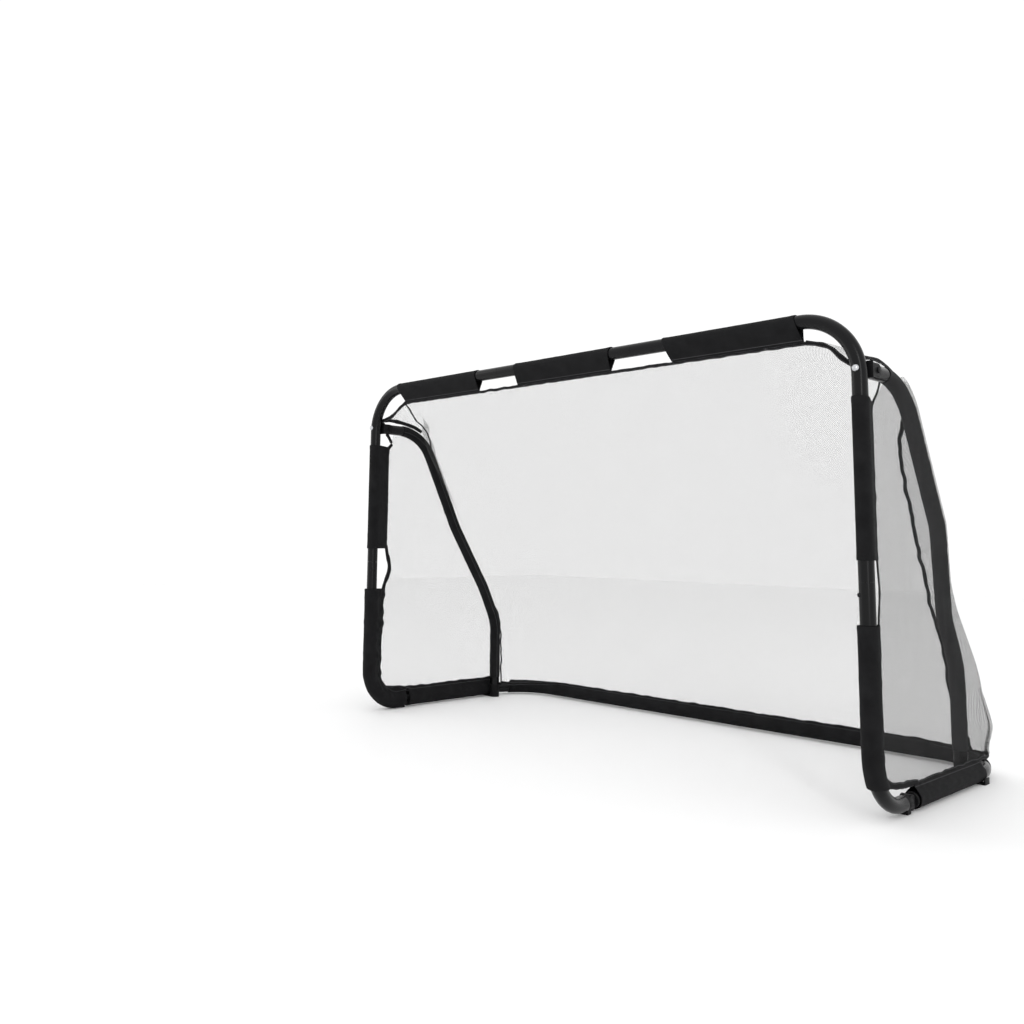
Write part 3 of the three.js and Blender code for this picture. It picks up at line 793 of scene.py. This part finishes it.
def strutCover(name, side):
    # a tube of cloth, pulled on over the strut before it is hung
    points = [p for p in evenly(strutRoute(side, 16), sleeve["step"])
              if p.y > frontY + strutLook["from"] and p.z > strutLook["lowest"]]
    rows, uvs = [], []
    length, previous, radius, around = 0, points[0], strutLook["radius"], strutLook["around"]
    for place, run in zip(points, tangents(points)):
        length += (place - previous).length
        previous = place
        wide = (along - run * along.dot(run)).normalized()
        deep = run.cross(wide)
        row = []
        for i in range(around):
            angle = 2 * math.pi * i / around
            fold = abs(rippled((length, math.sin(angle) * 0.012, math.cos(angle) * 0.012), 60, 30 + side))
            reach = radius + strutLook["fold"] * fold
            row.append(place + wide * reach * math.cos(angle) + deep * reach * math.sin(angle))
            uvs.append((length, radius * angle))
        rows.append(row)
    # the right strut's cover takes the lighter cloth as painted light on its lit outside; the left takes the
    # plain dark sleeve cloth
    cloth = strutClothPaintedLit if name == "right" else sleeveCloth
    piece = gridMesh(name + "_strut_cover", rows, cloth, uvs, closed=True)
    only(piece)
    bpy.ops.object.mode_set(mode="EDIT")
    bpy.ops.mesh.select_all(action="SELECT")
    bpy.ops.mesh.normals_make_consistent(inside=False)
    bpy.ops.object.mode_set(mode="OBJECT")
    thicken(piece, strutLook["wall"], 1)
    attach(piece, name + "_strut")
    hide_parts(name + "_strut_sleeve")


for name, side in sides.items():
    strutCover(name, side)
print("sleeves made")

net = {
    "bottom": 0.033,
    "clear": 0.0165,                             # from a strut's centre to the net outside it
    "roofLow": 0.700,
    "roofEdge": {"right": 0.5465, "left": 0.520},  # the seam reaches the crossbar here
    "top": barZ - 0.0133 - seamDrop,
}
cornerX = postX - bends["rear"]
strutLine = strutRoute(1, 12)
strutBack = []
for place, run in zip(strutLine, tangents(strutLine)):
    strutBack.append(place + Vector((0, -run.z, run.y)).normalized() * net["clear"])
strutBack = strutBack[1:]


def frameY(x):
    over = min(max(abs(x) - cornerX, 0), bends["rear"])
    return rearY - bends["rear"] + math.sqrt(bends["rear"] ** 2 - over ** 2)


def taut(x, z):
    return mix(frameY(x), postY, (z - net["bottom"]) / (net["top"] - net["bottom"]))


def behindStrut(z):
    if z >= strutBack[0].z:
        return strutBack[0]
    for a, b in zip(strutBack, strutBack[1:]):
        if b.z < z:
            return a.lerp(b, (a.z - z) / max(a.z - b.z, 1e-9))
    return strutBack[-1]


seamLooks = {
    # how far inside the strut's centre the seam runs, by height, and how far it stands off the net's own line
    "right": {
        "inside": [(0.70, 0.002), (0.64, 0.016), (0.60, 0.038), (0.52, 0.047), (0.44, 0.048), (0.37, 0.037),
                   (0.28, 0.026), (0.03, 0.020)],
        "off": 0.003,
        "taut": True,
    },
    "left": {
        "inside": [(0.71, 0.060), (0.69, 0.012), (0.64, -0.006), (0.26, -0.006), (0.19, 0.004),
                   (0.03, 0.008)],
        "off": 0.002,
        "taut": False,
    },
}


def insideStrut(name, z):
    table = seamLooks[name]["inside"]
    for (high, a), (low, b) in zip(table, table[1:]):
        if z >= low:
            return mix(b, a, min((z - low) / (high - low), 1))
    return table[-1][1]


def seamPoint(name, z):
    # where the back net meets a side net, and above that the roof
    level = min(z, net["roofLow"])
    strut = behindStrut(level)
    x = strut.x - insideStrut(name, level)
    y = strut.y + seamLooks[name]["off"]
    if seamLooks[name]["taut"]:
        y = max(taut(x, level), y)
    rise = min(max((z - net["roofLow"]) / (net["top"] - net["roofLow"]), 0), 1)
    return Vector((sides[name] * mix(x, net["roofEdge"][name], rise ** 1.4), mix(y, postY, ease(rise)), z))


def backNet():
    columns, levels = 132, 90
    rows, uvs = [], []
    for j in range(levels + 1):
        z = mix(net["bottom"], net["top"], j / levels)
        ends = {name: seamPoint(name, z) for name in sides}
        row = []
        for i in range(columns + 1):
            s = 2 * i / columns - 1
            end = ends["right" if s > 0 else "left"]
            x = abs(s) * end.x
            pull = ease((abs(s) - 0.8) / 0.2)
            y = mix(taut(x, z), end.y, pull)
            low = 1 - j / levels
            corner = ease((abs(s) - 0.35) / 0.65)
            crease = rippled((x * 1.6 + z * 1.1 * (1 if x > 0 else -1), z * 0.4, 0), 16, 40)
            soft = rippled((x, z * 0.7, 0), 5, 41)
            free = min(1, 6 * min(low, 1 - low) + 0.05) * min(1, 8 * (1 - abs(s)) + 0.02)
            y += free * (0.010 * soft + 0.007 * crease * (0.25 + 1.2 * corner * low))
            row.append(Vector((x, y, z)))
            uvs.append((x, z * 1.25))
        rows.append(row)
    piece = gridMesh("back_netting", rows, netting, uvs)
    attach(piece, "front_frame")
    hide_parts("back_net")
    return piece


hemBow = {"right": 0.006, "left": 0.015}
bulge = {"right": 0.020, "left": 0.004}           # how far the net stands out behind the foot
rimRise = {"right": 0.18, "left": 0.08}
rimPath = {
    # from the upper sleeve's corner to the underside of the strut
    "right": [(0.0510, 0.642), (0.0640, 0.655), (0.0760, 0.670), (0.0810, 0.682)],
    "left": [(0.0545, 0.648), (0.0640, 0.662), (0.0560, 0.676), (0.0480, 0.686)],
}


def netStart(name, z):
    # the seam of the upper sleeve, then of the lower one, and bowed out in the gap between them
    reach = {part: sum(postLooks[name][part][:2]) for part in ("upper", "lower")}
    bow = hemBow[name] * max(0, 1 - abs(z - 0.345) / 0.05)
    return postY + mix(reach["lower"], reach["upper"], ease((z - 0.3) / 0.09)) - 0.001 + bow


def sideNetPoint(name, s, t):
    side = sides[name]
    rim = mix(0.648, 0.690, min(1, s / rimRise[name]))
    top = mix(rim, net["roofLow"], ease((s - 0.5) / 0.3))
    over = railZ + postLooks[name]["rail"][1] + postLooks[name]["rail"][0] + 0.001
    footLine = mix(mix(over, 0.054, 1 - ease(s / 0.12)), net["bottom"], ease((s - 0.75) / 0.2))
    z = mix(footLine, top, t)
    strut = behindStrut(z)
    near = strut.x + net["clear"]
    outside = mix(max(near, postX), near, ease((z - 0.24) / 0.20))
    sideEnd = min(strut.y - net["clear"], rearY - bends["rear"])
    start = netStart(name, z)
    if s < 0.5:
        share = s / 0.5
        x = mix(postX, outside, ease(share * 1.6))
        y = mix(start, sideEnd, share)
        free = math.sin(math.pi * share) * math.sin(math.pi * t)
        x += free * (0.006 * rippled((y, z, 0), 7, 50 + side) + 0.003 * rippled((y * 2, z * 0.5, 0), 22, 51))
        return Vector((side * x, y, z))
    angle = (s - 0.5) / 0.5 * math.pi / 2
    square = mix(2 / 3, 1, ease((z - 0.12) / 0.2))
    seam = seamPoint(name, z)
    y = mix(sideEnd, seam.y, math.sin(angle) ** square)
    x = abs(seam.x) + (outside - abs(seam.x)) * math.cos(angle) ** square
    pleat = math.sin(math.pi * (s - 0.5) / 0.5) * ease((0.35 - t) / 0.35)
    wide = bulge[name] * math.sin(math.pi * (s - 0.5) / 0.5)
    wide = wide * ease((z - 0.04) / 0.06) * ease((0.34 - z) / 0.24)
    wide += 0.004 * pleat * math.sin(s * 70 + t * 16)
    return Vector((side * (x + 0.7 * wide), y + 0.7 * wide, z))


def sideNet(name):
    columns, levels = 84, 84
    rows = [[sideNetPoint(name, i / columns, j / levels) for i in range(columns + 1)]
            for j in range(levels + 1)]
    uvs = []
    for row in rows:
        run = 0
        for a, b in zip([row[0]] + row, row):
            run += (b.xy - a.xy).length
            uvs.append((run, b.z))
    piece = gridMesh(name + "_side_netting", rows, closeNetting if name == "right" else netting, uvs)
    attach(piece, "front_frame")
    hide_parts(name + "_side_net")
    return piece


cornerHems = {
    # the free edge from the crossbar sleeve's end to the post, from the roof over the strut
    "right": [(0.5465, 0.0, 0.7515), (0.561, 0.001, 0.7485), (0.585, 0.002, 0.7405), (0.599, 0.003, 0.7270),
              (0.616, 0.006, 0.7110), (0.629, 0.010, 0.7030)],
    "left": [(0.518, 0.0, 0.7515), (0.545, 0.002, 0.7400), (0.580, 0.006, 0.7230), (0.627, 0.010, 0.7140)],
}
roofHem = [(0.629, 0.012, 0.7150), (0.635, 0.050, 0.7200), (0.637, 0.090, 0.7185), (0.634, 0.135, 0.7090),
           (0.633, 0.158, 0.6990)]


def cornerHem(name):
    return smoothed([(sides[name] * x, postY + y, z) for x, y, z in cornerHems[name]], 0.004)


def roofLine(name):
    return smoothed([(sides[name] * x, frontY + y, z) for x, y, z in roofHem], 0.004)


def resampled(points, count):
    lengths = sum((b - a).length for a, b in zip(points, points[1:]))
    even = evenly(points, lengths / count)
    return [even[min(i, len(even) - 1)] for i in range(count + 1)]


def roofNet(name):
    count = 24
    front = resampled(cornerHem(name), count)                    # crossbar to post
    outer = resampled(roofLine(name), count)                     # post to elbow
    seam = [seamPoint(name, mix(net["top"], net["roofLow"], i / count)) for i in range(count + 1)]
    back = [seam[-1].lerp(outer[-1], i / count) for i in range(count + 1)]
    rows, uvs = [], []
    for j in range(count + 1):
        t = j / count
        row = []
        for i in range(count + 1):
            s = i / count
            ruled = mix(front[i], back[i], t) + mix(seam[j], outer[j], s)
            corners = mix(mix(front[0], front[-1], s), mix(back[0], back[-1], s), t)
            place = ruled - corners
            row.append(place)
            uvs.append((place.x, place.y * 1.2 + place.z))
        rows.append(row)
    piece = gridMesh(name + "_roof_netting", rows, netting, uvs)
    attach(piece, "front_frame")
    return piece


hemWidths = {
    "right": {"corner": 0.0085, "roof": 0.007, "post": 0.006, "rim": 0.0055, "seam": 0.007,
              "seamTop": net["roofLow"] - 0.02},
    "left": {"corner": 0.010, "roof": 0.010, "post": 0.011, "rim": 0.009, "seam": 0.0055,
             "seamTop": net["top"]},
}


bowLevels = (0.402, 0.385, 0.345, 0.305, 0.289)
gusset = [(0.038, 0.100), (0.045, 0.068), (0.072, 0.049), (0.120, 0.043), (0.165, 0.040)]


def hems(name):
    side = sides[name]
    made = []
    made.append(binding(name + "_corner_hem", cornerHem(name)[::4] + [cornerHem(name)[-1]], up,
                        hemWidths[name]["corner"], "front_frame"))
    made.append(binding(name + "_roof_hem", roofLine(name)[::4] + [roofLine(name)[-1]], up,
                        hemWidths[name]["roof"], "front_frame"))
    bow = [Vector((side * postX, netStart(name, z) - 0.001, z)) for z in bowLevels]
    made.append(binding(name + "_post_hem", bow, Vector((0, 1, 0)), hemWidths[name]["post"], "front_frame",
                        seed=side + 3.0))
    rim = [(side * postX, frontY + y, z) for y, z in rimPath[name]]
    made.append(binding(name + "_rim_hem", rim, up, hemWidths[name]["rim"], "front_frame", wave=0.001,
                        seed=side + 6.0))
    foot = [sideNetPoint(name, i / 14, 0) for i in range(15)]
    made.append(binding(name + "_foot_hem", foot, up, 0.008, "front_frame", wave=0.0012, seed=side + 9.0))
    seamTop = hemWidths[name]["seamTop"]
    seam = [seamPoint(name, mix(net["bottom"], seamTop, i / 26)) - Vector((0, 0.0015, 0)) for i in range(27)]
    made.append(binding(name + "_seam_tape", seam, along, hemWidths[name]["seam"], "front_frame", wave=0.0016,
                        seed=side + 12.0))
    made.append(binding(name + "_bend_strip", [(side * postX, frontY + y, z) for y, z in gusset], up, 0.011,
                        "front_frame", thick=0.003, wave=0.0012, seed=side + 15.0))
    return made


backPiece = backNet()
topEdge = []
for i in range(41):
    x = mix(-net["roofEdge"]["left"], net["roofEdge"]["right"], i / 40)
    topEdge.append(Vector((x, postY + 0.001, net["top"] - 0.002)))
topHem = binding("top_hem", topEdge, up, 0.0065, "front_frame", wave=0.0008, seed=70.0)
bottomEdge = []
for i in range(61):
    s = i / 30 - 1
    end = seamPoint("right" if s > 0 else "left", net["bottom"])
    x = abs(s) * end.x
    y = mix(taut(x, net["bottom"]), end.y, ease((abs(s) - 0.8) / 0.2))
    bottomEdge.append(Vector((x, y, net["bottom"] + 0.002)))
bottomHem = binding("bottom_hem", bottomEdge, up, 0.008, "front_frame", wave=0.0012, seed=71.0)
crumpled = [backPiece, topHem, bottomHem]
for name in sides:
    edges = hems(name)
    sidePiece = sideNet(name)
    roofPiece = roofNet(name)
    crumpled += [sidePiece, roofPiece] + edges
for piece in crumpled:
    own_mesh(piece)
print("nets and hems made")

addCamera()
addStudio()
